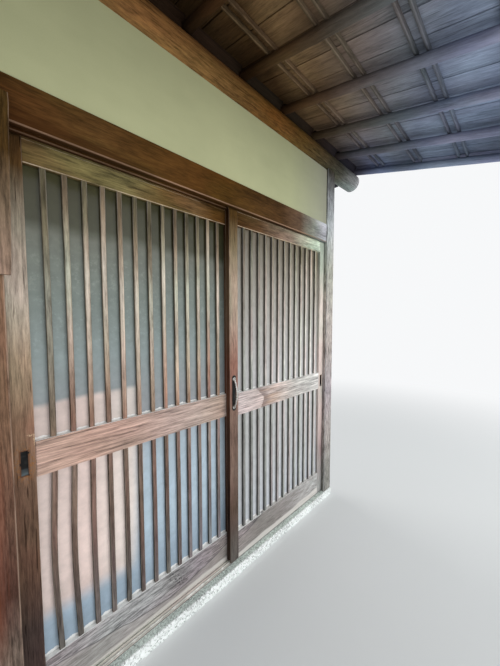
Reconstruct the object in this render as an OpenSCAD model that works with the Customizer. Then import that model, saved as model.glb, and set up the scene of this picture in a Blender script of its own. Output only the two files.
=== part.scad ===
// Entrance bay of a timber townhouse: two sliding lattice doors between posts,
// a plaster panel and a round log above them, and a tiled eave on round rafters.
// X runs along the wall, Y into the house, Z up. The origin is on the outer side
// face of the left post, at its foot, level with the top of the threshold stone.

/* [Posts and head beam] */
// Distance between the centres of the two posts
bay_w = 1818; // [1500:1:2200]
// Width of a post along the wall
post_w = 91; // [75:1:130]
// Depth of a post through the wall
post_d = 100; // [96:1:130]
// Width of the chamfers along the edges of a post
post_chamfer = 3; // [1:0.5:8]
// Clear height from the threshold stone to the head beam
head_h = 1890; // [1700:5:2200]
// Height of the head beam
beam_h = 130; // [90:1:200]
// Depth of the head beam through the wall
beam_d = 84; // [80:1:96]
// Width of the chamfer along the lower front edge of the head beam
beam_chamfer = 5; // [2:0.5:8]

/* [Plaster and log] */
// Height of the plaster panel up to the underside of the log
panel_h = 375; // [200:1:600]
// Thickness of the plaster panel
panel_t = 76; // [50:1:90]
// Diameter of the log over the posts
log_d = 150; // [120:1:200]
// Length of the log past the axis of each edge rafter
log_past_verge = 12; // [5:1:60]
// Length of the chamfer round each end of the log
log_chamfer = 9; // [3:1:20]

/* [Threshold] */
// Height of the threshold stone above the ground
stone_h = 50; // [30:1:150]
// Distance that the stone stands out in front of the posts
stone_lip = 8; // [2:1:60]
// Width of the chamfers along the upper edges of the stone
stone_chamfer = 3; // [1:0.5:6]
// Thickness of the sill board let into the stone
sill_t = 24; // [15:1:30]
// Distance from the front of the outer door to the edge of the sill board
sill_front = 2; // [0:1:12]
// Width of the raised part of a door rail
rail_w = 4; // [3:0.5:5]
// Height of a door rail above the sill board
rail_h = 6; // [4:0.5:8]
// Width of the flat foot of a door rail
rail_foot_w = 14; // [10:1:18]
// Thickness of the flat foot of a door rail
rail_foot_t = 2; // [1:0.5:3]

/* [Doors] */
// Distance of the middle of the outer door in front of the middle of the posts
door_set = 10; // [6:1:14]
// Thickness of a door
door_t = 28; // [26:1:32]
// Free gap that every moving piece keeps to its neighbours
gap = 5; // [5:0.5:6]
// Depth that the edge of a closed door stands in the post channel
edge_in = 3; // [1:0.5:6]
// Width of a door stile
stile_w = 56; // [45:1:70]
// Width by which the doors overlap beyond one stile
overlap_more = 3; // [0:1:10]
// Height of the top rail
top_rail_h = 72; // [50:1:100]
// Height of the bottom edge of the mid rail above the stone
mid_rail_z = 811; // [600:1:1000]
// Height of the mid rail
mid_rail_h = 121; // [70:1:160]
// Height of the top edge of the bottom rail above the stone
bottom_rail_top = 160; // [100:1:300]
// Thickness of the tongue on top of a door
tongue_t = 14; // [10:1:16]
// Height of the tongue on top of a door, above its shoulder
tongue_h = 18; // [16:1:22]
// Free height over a tongue, in which a door is lifted off its rail
lift_room = 7; // [5:0.5:12]
// Number of lattice bars in each half of a door
bar_n = 13; // [7:1:17]
// Width of a lattice bar
bar_w = 17; // [10:1:24]
// Depth of a lattice bar
bar_d = 14; // [8:1:16]
// Distance from the front of a stile back to the front of the bars
bar_back = 3; // [1:0.5:5]
// Thickness of the glass
glass_t = 4; // [3:0.5:6]
// Distance that the glass stands in the grooves of the frame around it
glass_in = 6; // [3:1:10]
// Height of the middle of the finger pulls and the handle above the stone
pull_z = 868; // [700:1:1100]
// Width of a finger pull
pull_w = 20; // [14:1:30]
// Height of a finger pull
pull_h = 82; // [50:1:120]
// Depth of a finger pull
pull_d = 12; // [8:0.5:15]
// Height of the bow handle between its two feet
handle_h = 150; // [100:1:200]
// Distance that the bow handle stands out from the door
handle_out = 30; // [25:1:36]
// Diameter of the round bar of the handle
handle_d = 9; // [6:0.5:12]
// Height of the middle of the bow handle above the stone
handle_z = 938; // [800:1:1100]
// Diameter of a door wheel
wheel_d = 18; // [14:0.5:20]
// Thickness of a door wheel
wheel_t = 6; // [4:0.5:8]
// Diameter of the axle of a door wheel
axle_d = 4; // [3:0.5:6]
// Distance from the edge of a door to the axle of its wheel
wheel_in = 130; // [90:1:250]

/* [Eave] */
// Slope of the roof in degrees
roof_pitch = 17; // [10:0.5:30]
// Diameter of a rafter
rafter_d = 48; // [40:1:70]
// Depth that a rafter is cut over the log
rafter_seat = 4; // [2:0.5:10]
// Thickness planed off the top of a rafter
rafter_flat = 2; // [1:0.5:4]
// Length of a rafter from the log out to the eave, along the slope
eave_out = 1130; // [1080:1:1300]
// Length of a rafter from the log into the house, along the slope
wall_in = 260; // [220:1:400]
// Distance from the left post out to the axis of the left edge rafter
left_out = 254; // [180:1:500]
// Distance from the corner post out to the axis of the right edge rafter
right_out = 365; // [180:1:500]
// Width of a batten, which stands on its narrow edge
batten_w = 11; // [8:1:20]
// Height of a batten
batten_t = 18; // [10:1:26]
// Distance between the middles of the two battens of a pair
pair_gap = 46; // [34:1:60]
// Distance between two pairs of battens, along the slope
pair_pitch = 264; // [220:1:300]
// Distance from the log out to the first pair of battens, along the slope
pair_first = 212; // [120:1:260]
// Distance from the log to the pair of battens inside the house, along the slope
pair_inside = 52; // [45:1:150]
// Width of a roof board
board_w = 127; // [90:1:200]
// Thickness of a roof board
board_t = 12; // [9:1:20]
// Width of the open seam between two roof boards
seam_w = 2; // [1:0.5:4]
// Width of the eave board on the rafter ends
eave_board_w = 48; // [35:1:70]
// Distance that the eave board stands out past the rafter ends
eave_board_past = 6; // [2:1:12]
// Height of the eave board above the roof boards
eave_board_up = 16; // [8:1:30]
// Thickness of the boards that close the gap between log and roof
infill_t = 14; // [8:1:25]
// Width of the ledger under the inner ends of the rafters
ledger_w = 60; // [40:1:90]
// Height of the ledger under the inner ends of the rafters
ledger_h = 90; // [50:1:120]
// Depth of the rafter seats in the ledger
ledger_seat = 11; // [9:1:16]

/* [Roof tiles] */
// Height from the roof boards to the middle of a tile's wave, at the upper end of the tile
cover_t = 46; // [40:1:70]
// Height by which the lower end of a tile stands over the course below it
tile_step = 20; // [14:1:28]
// Greatest width that one tile may cover
tile_w = 265; // [200:1:300]
// Greatest length that one tile may leave open to the rain
tile_l = 240; // [180:1:280]
// Share of a tile's width that its roll takes
roll_share = 0.36; // [0.25:0.01:0.5]
// Height of the roll over the middle of the wave
roll_h = 16; // [10:1:24]
// Depth of the pan under the middle of the wave
pan_h = 14; // [8:1:20]
// Distance that the tiles stand out past the eave board
cover_lip = 40; // [20:1:60]
// Distance that the tiles stand out past the edge rafters
verge_lip = 22; // [10:1:60]

/* [Name board] */
// Width of the name board at its upper edge
sign_w = 149; // [80:1:180]
// Width of the name board at its lower edge
sign_foot_w = 126; // [80:1:180]
// Height of the name board
sign_h = 500; // [300:1:700]
// Thickness of the name board
sign_t = 18; // [10:1:30]
// Distance from the head beam down to the lower edge of the name board
sign_below = 435; // [300:1:700]

/* [Hidden] */
$fn = 48;
eps = 1;

// Wall frame
opening_w = bay_w - post_w;
left_in = post_w;
right_in = post_w + opening_w;
wall_w = bay_w + post_w;
beam_top = head_h + beam_h;
log_r = log_d / 2;
log_z = beam_top + panel_h + log_r;

// Door tracks, one behind the other
track_step = door_t + gap;
outer_mid = -door_set;
inner_mid = outer_mid + track_step;
door_front = outer_mid - door_t / 2;
channel_front = outer_mid - door_t / 2 - gap;
channel_back = inner_mid + door_t / 2 + gap;
channel_depth = edge_in + gap;
groove_w = tongue_t + 2 * gap;
groove_depth = tongue_h - gap + lift_room;

// Doors
door_w = (opening_w + 2 * edge_in + stile_w + overlap_more) / 2;
left_door_x = left_in - edge_in;
right_door_x = right_in + edge_in - door_w;
door_bottom = gap;
shoulder_z = head_h - gap;
tongue_top = shoulder_z + tongue_h;
top_rail_z = shoulder_z - top_rail_h;
frame_w = door_w - 2 * stile_w;
bar_pitch = (frame_w + bar_w) / (bar_n + 1);
foot_groove_w = rail_w + 2 * gap;
foot_groove_h = rail_h - door_bottom + 2 * gap;
wheel_clear = 0.5;
wheel_z = rail_h + wheel_clear + wheel_d / 2;
pocket_room = 4;
pocket_l = wheel_d + 2 * pocket_room;
pocket_top = wheel_z + wheel_d / 2 + pocket_room / 2;

// Bow handle: an arc of round bar on two round feet
handle_foot_d = 2 * handle_d;
handle_foot_t = handle_d / 3;
handle_sink = 0.5;
bow_rise = handle_out - handle_d / 2 - handle_foot_t;
bow_r = (handle_h * handle_h / 4 + bow_rise * bow_rise) / (2 * bow_rise);
bow_half = asin(handle_h / 2 / bow_r);
bow_past = 4;

// Roof frame, measured from the axis of the log, square to the slope
rafter_r = rafter_d / 2;
rafter_axis = log_r + rafter_r - rafter_seat;
batten_z = rafter_axis + rafter_r - rafter_flat;
board_z = batten_z + batten_t;
cover_z = board_z + board_t;
left_verge = -left_out;
right_verge = wall_w + right_out;
rafter_n = 9;
rafter_pitch = (right_verge - left_verge) / (rafter_n - 1);
roof_left = left_verge - verge_lip;
roof_right = right_verge + verge_lip;
roof_w = roof_right - roof_left;
eave_end = eave_out + eave_board_past;
pair_room = eave_end - eave_board_w - pair_first - pair_gap / 2 - batten_w;
pair_n = floor(pair_room / pair_pitch) + 1;
ledger_run = wall_in - ledger_w;
ledger_mid = ledger_run * cos(roof_pitch) - rafter_axis * sin(roof_pitch);
ledger_top = log_z + ledger_run * sin(roof_pitch) + rafter_axis * cos(roof_pitch)
    - rafter_r / cos(roof_pitch) + ledger_seat;

// Roof tiles
tile_cols = ceil(roof_w / tile_w);
tile_pitch = roof_w / tile_cols;
tile_points = 12;
cover_run = eave_end + cover_lip + wall_in;
tile_rows = ceil(cover_run / tile_l);
tile_open = cover_run / tile_rows;
tile_tilt = atan(tile_step / tile_open);
cover_top = cover_t + tile_step + roll_h;

// Places what follows on the slope of the roof, with the axis of the log at its origin
module on_roof() { translate([0, 0, log_z]) rotate([roof_pitch, 0, 0]) children(); }

module log_shape(x, length) {
    translate([x, 0, 0]) rotate([0, 90, 0]) cylinder(d = log_d, h = length, $fn = 96);
}

module rail_groove(mid) {
    translate([left_in, mid - rail_foot_w / 2, -rail_foot_t])
        cube([opening_w, rail_foot_w, rail_foot_t + eps]);
}

module sill_space(more = 0) {
    translate([left_in, door_front + sill_front, -sill_t])
        cube([opening_w, channel_back - door_front - sill_front, sill_t + more]);
}

// Rectangle around the origin of the Y axis, with chamfered corners at its far end
module stone_section(width, height, chamfer) {
    polygon([
        [-width / 2, -height], [width / 2, -height], [width / 2, -chamfer],
        [width / 2 - chamfer, 0], [chamfer - width / 2, 0], [-width / 2, -chamfer]
    ]);
}

module threshold_stone() color("lightgray") difference() {
    rotate([90, 0, 90]) linear_extrude(wall_w)
        stone_section(post_d + 2 * stone_lip, stone_h, stone_chamfer);
    sill_space(eps);
}

module sill_board() color("dimgray") difference() {
    sill_space();
    rail_groove(outer_mid);
    rail_groove(inner_mid);
}

module door_rail(mid) {
    translate([left_in, mid, 0]) rotate([90, 0, 90]) linear_extrude(opening_w) union() {
        translate([-rail_foot_w / 2, -rail_foot_t]) square([rail_foot_w, rail_foot_t]);
        translate([-rail_w / 2, 0]) square([rail_w, rail_h - rail_w / 2]);
        translate([0, rail_h - rail_w / 2]) circle(d = rail_w, $fn = 24);
    }
}

module door_rails() color("silver") { door_rail(outer_mid); door_rail(inner_mid); }

module post_section(w, d, chamfer) {
    polygon([
        [chamfer, 0], [w - chamfer, 0], [w, chamfer], [w, d - chamfer],
        [w - chamfer, d], [chamfer, d], [0, d - chamfer], [0, chamfer]
    ]);
}

// The channel runs on behind the head beam, as high as the door grooves
module post(x, channel_x) difference() {
    translate([x, -post_d / 2, 0]) linear_extrude(log_z) post_section(post_w, post_d, post_chamfer);
    translate([channel_x, channel_front, -eps])
        cube([channel_depth, channel_back - channel_front, head_h + groove_depth + eps]);
    translate([0, 0, log_z]) log_shape(x - eps, post_w + 2 * eps);
}

module left_post() color("sienna") post(0, left_in - channel_depth);
module corner_post() color("darkgray") post(right_in, right_in);

module head_groove(mid) {
    translate([left_in - eps, mid - groove_w / 2, head_h - eps])
        cube([opening_w + 2 * eps, groove_w, groove_depth + eps]);
}

module beam_section() {
    polygon([
        [-beam_d / 2, beam_chamfer], [beam_chamfer - beam_d / 2, 0], [beam_d / 2, 0],
        [beam_d / 2, beam_h], [-beam_d / 2, beam_h]
    ]);
}

module head_beam() color("saddlebrown") difference() {
    translate([left_in, 0, head_h]) rotate([90, 0, 90]) linear_extrude(opening_w) beam_section();
    head_groove(outer_mid);
    head_groove(inner_mid);
}

module plaster_panel() color("darkseagreen") difference() {
    translate([left_in, -panel_t / 2, beam_top]) cube([opening_w, panel_t, log_z - beam_top]);
    translate([0, 0, log_z]) log_shape(left_in - eps, opening_w + 2 * eps);
}

module log_purlin() color("peru") translate([left_verge - log_past_verge, 0, log_z]) rotate([0, 90, 0])
    union() {
        log_l = right_verge - left_verge + 2 * log_past_verge;
        cylinder(d1 = log_d - 2 * log_chamfer, d2 = log_d, h = log_chamfer, $fn = 96);
        translate([0, 0, log_chamfer]) cylinder(d = log_d, h = log_l - 2 * log_chamfer, $fn = 96);
        translate([0, 0, log_l - log_chamfer])
            cylinder(d1 = log_d, d2 = log_d - 2 * log_chamfer, h = log_chamfer, $fn = 96);
    }

module rafter(i) color("darkkhaki") on_roof() difference() {
    translate([left_verge + i * rafter_pitch, wall_in, rafter_axis])
        rotate([90, 0, 0]) cylinder(d = rafter_d, h = wall_in + eave_out);
    translate([left_verge + i * rafter_pitch - rafter_d, -eave_out - eps, batten_z])
        cube([2 * rafter_d, wall_in + eave_out + 2 * eps, rafter_d]);
    log_shape(left_verge + i * rafter_pitch - rafter_d, 2 * rafter_d);
}

module infill_boards() color("saddlebrown") on_roof() difference() {
    translate([left_verge, -infill_t / 2, 0]) cube([right_verge - left_verge, infill_t, board_z]);
    log_shape(left_verge - eps, right_verge - left_verge + 2 * eps);
    for (i = [0 : rafter_n - 1])
        translate([left_verge + i * rafter_pitch, infill_t, rafter_axis]) rotate([90, 0, 0]) {
            cylinder(d = rafter_d, h = 2 * infill_t);
            translate([-rafter_r / 2, 0, 0]) cube([rafter_r, rafter_d, 2 * infill_t]);
        }
}

module batten(y) {
    translate([left_verge - rafter_r, y - batten_w / 2, batten_z])
        cube([right_verge - left_verge + rafter_d, batten_w, batten_t]);
}

module batten_pair(y) for (side = [-0.5, 0.5]) batten(y + side * pair_gap);

module battens() color("tan") on_roof() {
    batten_pair(pair_inside);
    for (k = [0 : pair_n - 1]) batten_pair(-pair_first - k * pair_pitch);
}

module roof_boards() color("burlywood") on_roof() difference() {
    translate([left_verge - rafter_r, -eave_end + eave_board_w, board_z])
        cube([right_verge - left_verge + rafter_d, eave_end - eave_board_w + wall_in, board_t]);
    for (x = [left_verge + board_w : board_w : right_verge])
        translate([x, -eave_end, board_z - eps])
            cube([seam_w, eave_end + wall_in + eps, board_t / 2 + eps]);
}

module eave_board() color("tan") on_roof()
    translate([left_verge - rafter_r, -eave_end, batten_z])
        cube([right_verge - left_verge + rafter_d, eave_board_w, batten_t + board_t + eave_board_up]);

// Height of the wave over its middle, at a share u of a tile's width
function tile_wave(u) = u < roll_share ? roll_h * sin(180 * u / roll_share)
    : -pan_h * sin(180 * (u - roll_share) / (1 - roll_share));

module course_section() {
    wave = [for (i = [0 : tile_cols * tile_points])
        [i * tile_pitch / tile_points, cover_t + tile_wave((i % tile_points) / tile_points)]];
    polygon(concat([[0, -tile_step - eps]], wave, [[roof_w, -tile_step - eps]]));
}

// A course of tiles leans on the one below it, so its lower end is lifted by the step
module tile_course(k)
    translate([roof_left, wall_in - k * tile_open, cover_z]) rotate([90 - tile_tilt, 0, 0])
        linear_extrude(tile_open / cos(tile_tilt)) course_section();

module roof_tiles() color("slategray") on_roof() difference() {
    intersection() {
        union() for (k = [0 : tile_rows - 1]) tile_course(k);
        translate([roof_left, -eave_end - cover_lip, cover_z]) cube([roof_w, cover_run, cover_top]);
    }
    translate([roof_left - eps, -eave_end - cover_lip - eps, cover_z - eps])
        cube([roof_w + 2 * eps, cover_lip + eave_board_w + eps, eave_board_up + eps]);
}

module wall_ledger() color("tan") difference() {
    translate([left_verge - rafter_r, ledger_mid - ledger_w / 2, ledger_top - ledger_h])
        cube([right_verge - left_verge + rafter_d, ledger_w, ledger_h]);
    on_roof() for (i = [0 : rafter_n - 1])
        translate([left_verge + i * rafter_pitch, wall_in + ledger_w, rafter_axis]) rotate([90, 0, 0])
            cylinder(d = rafter_d, h = 3 * ledger_w);
}

module name_board() color("wheat")
    translate([post_w / 2, -post_d / 2, head_h - sign_below]) rotate([90, 0, 0])
        linear_extrude(sign_t) polygon([
            [-sign_foot_w / 2, 0], [sign_foot_w / 2, 0], [sign_w / 2, sign_h], [-sign_w / 2, sign_h]
        ]);

// Groove round the glass, cut into the pieces of a door frame
module glass_space(mid) {
    for (z = [[bottom_rail_top, mid_rail_z], [mid_rail_z + mid_rail_h, top_rail_z]])
        translate([stile_w - glass_in, mid - door_t / 2 + bar_back + bar_d, z[0] - glass_in])
            cube([frame_w + 2 * glass_in, glass_t, z[1] - z[0] + 2 * glass_in]);
}

// Groove over the rail and pockets of the two wheels, cut into the foot of a door
module foot_space(mid) {
    translate([-eps, mid - foot_groove_w / 2, door_bottom - eps])
        cube([door_w + 2 * eps, foot_groove_w, foot_groove_h + eps]);
    for (x = [wheel_in, door_w - wheel_in])
        translate([x - pocket_l / 2, mid - foot_groove_w / 2, door_bottom - eps])
            cube([pocket_l, foot_groove_w, pocket_top - door_bottom + eps]);
}

module stile(x, mid) difference() {
    union() {
        translate([x, mid - door_t / 2, door_bottom]) cube([stile_w, door_t, shoulder_z - door_bottom]);
        translate([x, mid - tongue_t / 2, shoulder_z]) cube([stile_w, tongue_t, tongue_h]);
    }
    glass_space(mid);
    foot_space(mid);
}

module finger_pull(x, mid) {
    translate([x + stile_w / 2 - pull_w / 2, mid - door_t / 2 - eps, pull_z - pull_h / 2])
        cube([pull_w, pull_d + eps, pull_h]);
}

module top_rail(mid) difference() {
    union() {
        translate([stile_w, mid - door_t / 2, top_rail_z]) cube([frame_w, door_t, top_rail_h]);
        translate([stile_w, mid - tongue_t / 2, shoulder_z]) cube([frame_w, tongue_t, tongue_h]);
    }
    glass_space(mid);
}

module mid_rail(mid) difference() {
    translate([stile_w, mid - door_t / 2, mid_rail_z]) cube([frame_w, door_t, mid_rail_h]);
    glass_space(mid);
}

module bottom_rail(mid) difference() {
    translate([stile_w, mid - door_t / 2, door_bottom])
        cube([frame_w, door_t, bottom_rail_top - door_bottom]);
    glass_space(mid);
    foot_space(mid);
}

module bars(mid)
    for (i = [1 : bar_n], z = [[bottom_rail_top, mid_rail_z], [mid_rail_z + mid_rail_h, top_rail_z]])
        translate([stile_w + i * bar_pitch - bar_w, mid - door_t / 2 + bar_back, z[0]])
            cube([bar_w, bar_d, z[1] - z[0]]);

module wheels(mid)
    for (x = [wheel_in, door_w - wheel_in])
        translate([x, mid, wheel_z]) rotate([90, 0, 0]) union() {
            cylinder(d = wheel_d, h = wheel_t, center = true);
            cylinder(d = axle_d, h = foot_groove_w, center = true);
        }

module left_door() translate([left_door_x, 0, 0]) children();
module right_door() translate([right_door_x, 0, 0]) children();

module left_door_left_stile() color("rosybrown") left_door() difference() {
    stile(0, inner_mid);
    finger_pull(0, inner_mid);
}
module left_door_right_stile() color("rosybrown") left_door() stile(door_w - stile_w, inner_mid);
module left_door_top_rail() color("olive") left_door() top_rail(inner_mid);
module left_door_mid_rail() color("tan") left_door() mid_rail(inner_mid);
module left_door_bottom_rail() color("gray") left_door() bottom_rail(inner_mid);
module left_door_bars() color("saddlebrown") left_door() bars(inner_mid);
module left_door_glass() color("lightcyan") left_door() glass_space(inner_mid);
module left_door_wheels() color("goldenrod") left_door() wheels(inner_mid);

module right_door_left_stile() color("rosybrown") right_door() stile(0, outer_mid);
module right_door_right_stile() color("rosybrown") right_door() difference() {
    stile(door_w - stile_w, outer_mid);
    finger_pull(door_w - stile_w, outer_mid);
}
module right_door_top_rail() color("olive") right_door() top_rail(outer_mid);
module right_door_mid_rail() color("tan") right_door() mid_rail(outer_mid);
module right_door_bottom_rail() color("gray") right_door() bottom_rail(outer_mid);
module right_door_bars() color("saddlebrown") right_door() bars(outer_mid);
module right_door_glass() color("lightcyan") right_door() glass_space(outer_mid);
module right_door_wheels() color("goldenrod") right_door() wheels(outer_mid);

module bow_arc() {
    translate([0, bow_r - bow_rise, 0]) rotate([0, 90, 0]) rotate([0, 0, -90 - bow_half - bow_past])
        rotate_extrude(angle = 2 * (bow_half + bow_past), $fn = 180)
            translate([bow_r, 0]) circle(d = handle_d, $fn = 24);
}

module right_door_handle() color("darkslategray") right_door()
    translate([stile_w / 2, door_front, handle_z]) union() {
        for (side = [-1, 1])
            translate([0, 0, side * handle_h / 2]) rotate([90, 0, 0])
                cylinder(d = handle_foot_d, h = handle_foot_t);
        translate([0, -handle_foot_t, 0]) difference() {
            bow_arc();
            translate([-handle_d, handle_sink, -handle_h]) cube([2 * handle_d, handle_h, 2 * handle_h]);
        }
    }

threshold_stone();
sill_board();
door_rails();
left_post();
corner_post();
head_beam();
plaster_panel();
log_purlin();
infill_boards();
rafter(0);  // left_edge_rafter
rafter(1);  // rafter_2
rafter(2);  // rafter_3
rafter(3);  // rafter_4
rafter(4);  // rafter_5
rafter(5);  // rafter_6
rafter(6);  // rafter_7
rafter(7);  // rafter_8
rafter(8);  // right_edge_rafter
battens();
roof_boards();
eave_board();
roof_tiles();
wall_ledger();
name_board();
left_door_left_stile();
left_door_right_stile();
left_door_top_rail();
left_door_mid_rail();
left_door_bottom_rail();
left_door_bars();
left_door_glass();
left_door_wheels();
right_door_left_stile();
right_door_right_stile();
right_door_top_rail();
right_door_mid_rail();
right_door_bottom_rail();
right_door_bars();
right_door_glass();
right_door_wheels();
right_door_handle();
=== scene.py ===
import math
import random
from functools import reduce

import bmesh
import bpy
from mathutils import Matrix, Vector, noise


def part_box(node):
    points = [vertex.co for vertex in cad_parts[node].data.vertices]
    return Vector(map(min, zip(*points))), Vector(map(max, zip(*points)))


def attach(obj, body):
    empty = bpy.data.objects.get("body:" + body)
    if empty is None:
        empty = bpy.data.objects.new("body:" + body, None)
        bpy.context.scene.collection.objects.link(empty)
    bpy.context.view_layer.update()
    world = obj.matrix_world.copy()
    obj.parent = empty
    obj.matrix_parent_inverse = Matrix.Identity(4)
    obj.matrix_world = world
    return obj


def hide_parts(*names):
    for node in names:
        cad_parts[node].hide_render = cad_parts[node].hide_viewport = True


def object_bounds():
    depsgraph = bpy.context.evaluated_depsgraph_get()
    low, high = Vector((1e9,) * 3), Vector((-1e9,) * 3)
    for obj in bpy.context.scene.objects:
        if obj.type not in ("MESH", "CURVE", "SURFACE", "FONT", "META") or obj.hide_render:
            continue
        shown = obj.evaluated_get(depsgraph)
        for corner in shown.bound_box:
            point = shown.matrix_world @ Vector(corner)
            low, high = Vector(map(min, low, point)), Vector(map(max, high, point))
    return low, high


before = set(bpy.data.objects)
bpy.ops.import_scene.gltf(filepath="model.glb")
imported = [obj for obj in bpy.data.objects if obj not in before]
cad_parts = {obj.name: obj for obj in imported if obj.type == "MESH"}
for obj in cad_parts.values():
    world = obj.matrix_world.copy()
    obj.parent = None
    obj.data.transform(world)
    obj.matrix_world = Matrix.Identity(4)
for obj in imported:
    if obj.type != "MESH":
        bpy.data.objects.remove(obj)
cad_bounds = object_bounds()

# Lengths are in metres. X runs to the right along the wall, Y into the house and Z up.

# Camera, matched to the photograph's own view, with its angles in degrees
PHOTO_WIDTH = 500
FOCAL_PIXELS = 256.8
CAMERA_PLACE = (0.103, -1.0644, 1.3286)
CAMERA_YAW = 42.72
CAMERA_DOWN = 3.082
CAMERA_ROLL = -0.05
CAMERA_SHIFT = 0.0014

# Roof frame: it slopes up into the house, and its own origin is on the axis of the log
ROOF_PITCH = math.radians(17)
LOG_LOW, LOG_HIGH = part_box("log_purlin")
LOG_R = (LOG_HIGH.y - LOG_LOW.y) / 2
LOG_Z = (LOG_HIGH.z + LOG_LOW.z) / 2
LOG_TAPER = 0.010
LOG_TAPER_FROM = 1.2
LOG_DOME = 0.008
RAFTER_R = 0.024
RAFTER_AXIS = LOG_R + RAFTER_R - 0.004
RAFTER_TOP = RAFTER_AXIS + RAFTER_R - 0.002
RAFTER_OUT = -1.130
RAFTER_IN = 0.260
RAFTER_NODES = ["left_edge_rafter"] + [f"rafter_{i}" for i in range(2, 9)] + ["right_edge_rafter"]
BATTEN_W = 0.011
BATTEN_T = 0.018
BATTEN_PAIR = 0.046
BATTEN_PLACES = [0.052 - 0.264 * i for i in range(5)]
BOARD_Z = RAFTER_TOP + BATTEN_T
BOARD_T = 0.012
BOARD_W = 0.127
SEAM = 0.0045
EAVE_BOARD_UP = 0.016
EAVE_BOARD_W = 0.048
EAVE_OUT = RAFTER_OUT - 0.006

# Tiles: each has a roll and a pan, and each course laps over the one below it
TILE_Z = BOARD_Z + BOARD_T
TILE_OUT = EAVE_OUT - 0.040
TILE_COLUMNS = 10
TILE_ROWS = 6
TILE_ROW = (RAFTER_IN - TILE_OUT) / TILE_ROWS
TILE_LAP = 0.03
TILE_MIDDLE = 0.046
TILE_STEP = 0.020
TILE_LEAN = TILE_STEP / TILE_ROW
TILE_T = 0.015
TILE_GAP = 0.0015
TILE_POINTS = 18
TILE_FLOOR = 0.003
TILE_TUCK = 0.004
ROLL_SHARE = 0.36
ROLL_H = 0.016
PAN_H = 0.014

# Doors and name board
BAR_COUNT = 13
BAR_W = 0.017
PULL_Z = 0.868
PULL_W = 0.020
PULL_H = 0.082
PULL_DEPTH = 0.012
SIGN_TOP = 0.149
SIGN_FOOT = 0.126

# Timber: shares of the rings, streaks and fibres at full figure, and the limits of dark and bright
RING_SHARE = 0.30
STREAK_SHARE = 0.55
FIBRE_SHARE = 0.36
DARKEST = 0.3
BRIGHTEST = 1.9
CRACK_SHADE = (0.34, 0.30, 0.28)

# Backdrop, and the ambient light from the dim and the bright side
BACKDROP = (0.93, 0.94, 0.95, 1.0)
AMBIENT_COLOUR = (0.93, 0.97, 1.0, 1.0)
AMBIENT_SIDE = (0.62, -0.72, 0.30)
AMBIENT_LOW = 0.20
AMBIENT_HIGH = 0.88
FLOOR_REACH = 14.0

FRAME_BODY = "entrance_frame"


def on_roof(x, y, z):
    """Place of a point that is given along the wall, up the slope and square to the slope."""
    return Vector((
        x,
        y * math.cos(ROOF_PITCH) - z * math.sin(ROOF_PITCH),
        LOG_Z + y * math.sin(ROOF_PITCH) + z * math.cos(ROOF_PITCH),
    ))


def linear(code):
    """Linear colour of a hex code."""
    values = [int(code[i:i + 2], 16) / 255 for i in (1, 3, 5)]
    return [v / 12.92 if v <= 0.04045 else ((v + 0.055) / 1.055) ** 2.4 for v in values] + [1.0]


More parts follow.
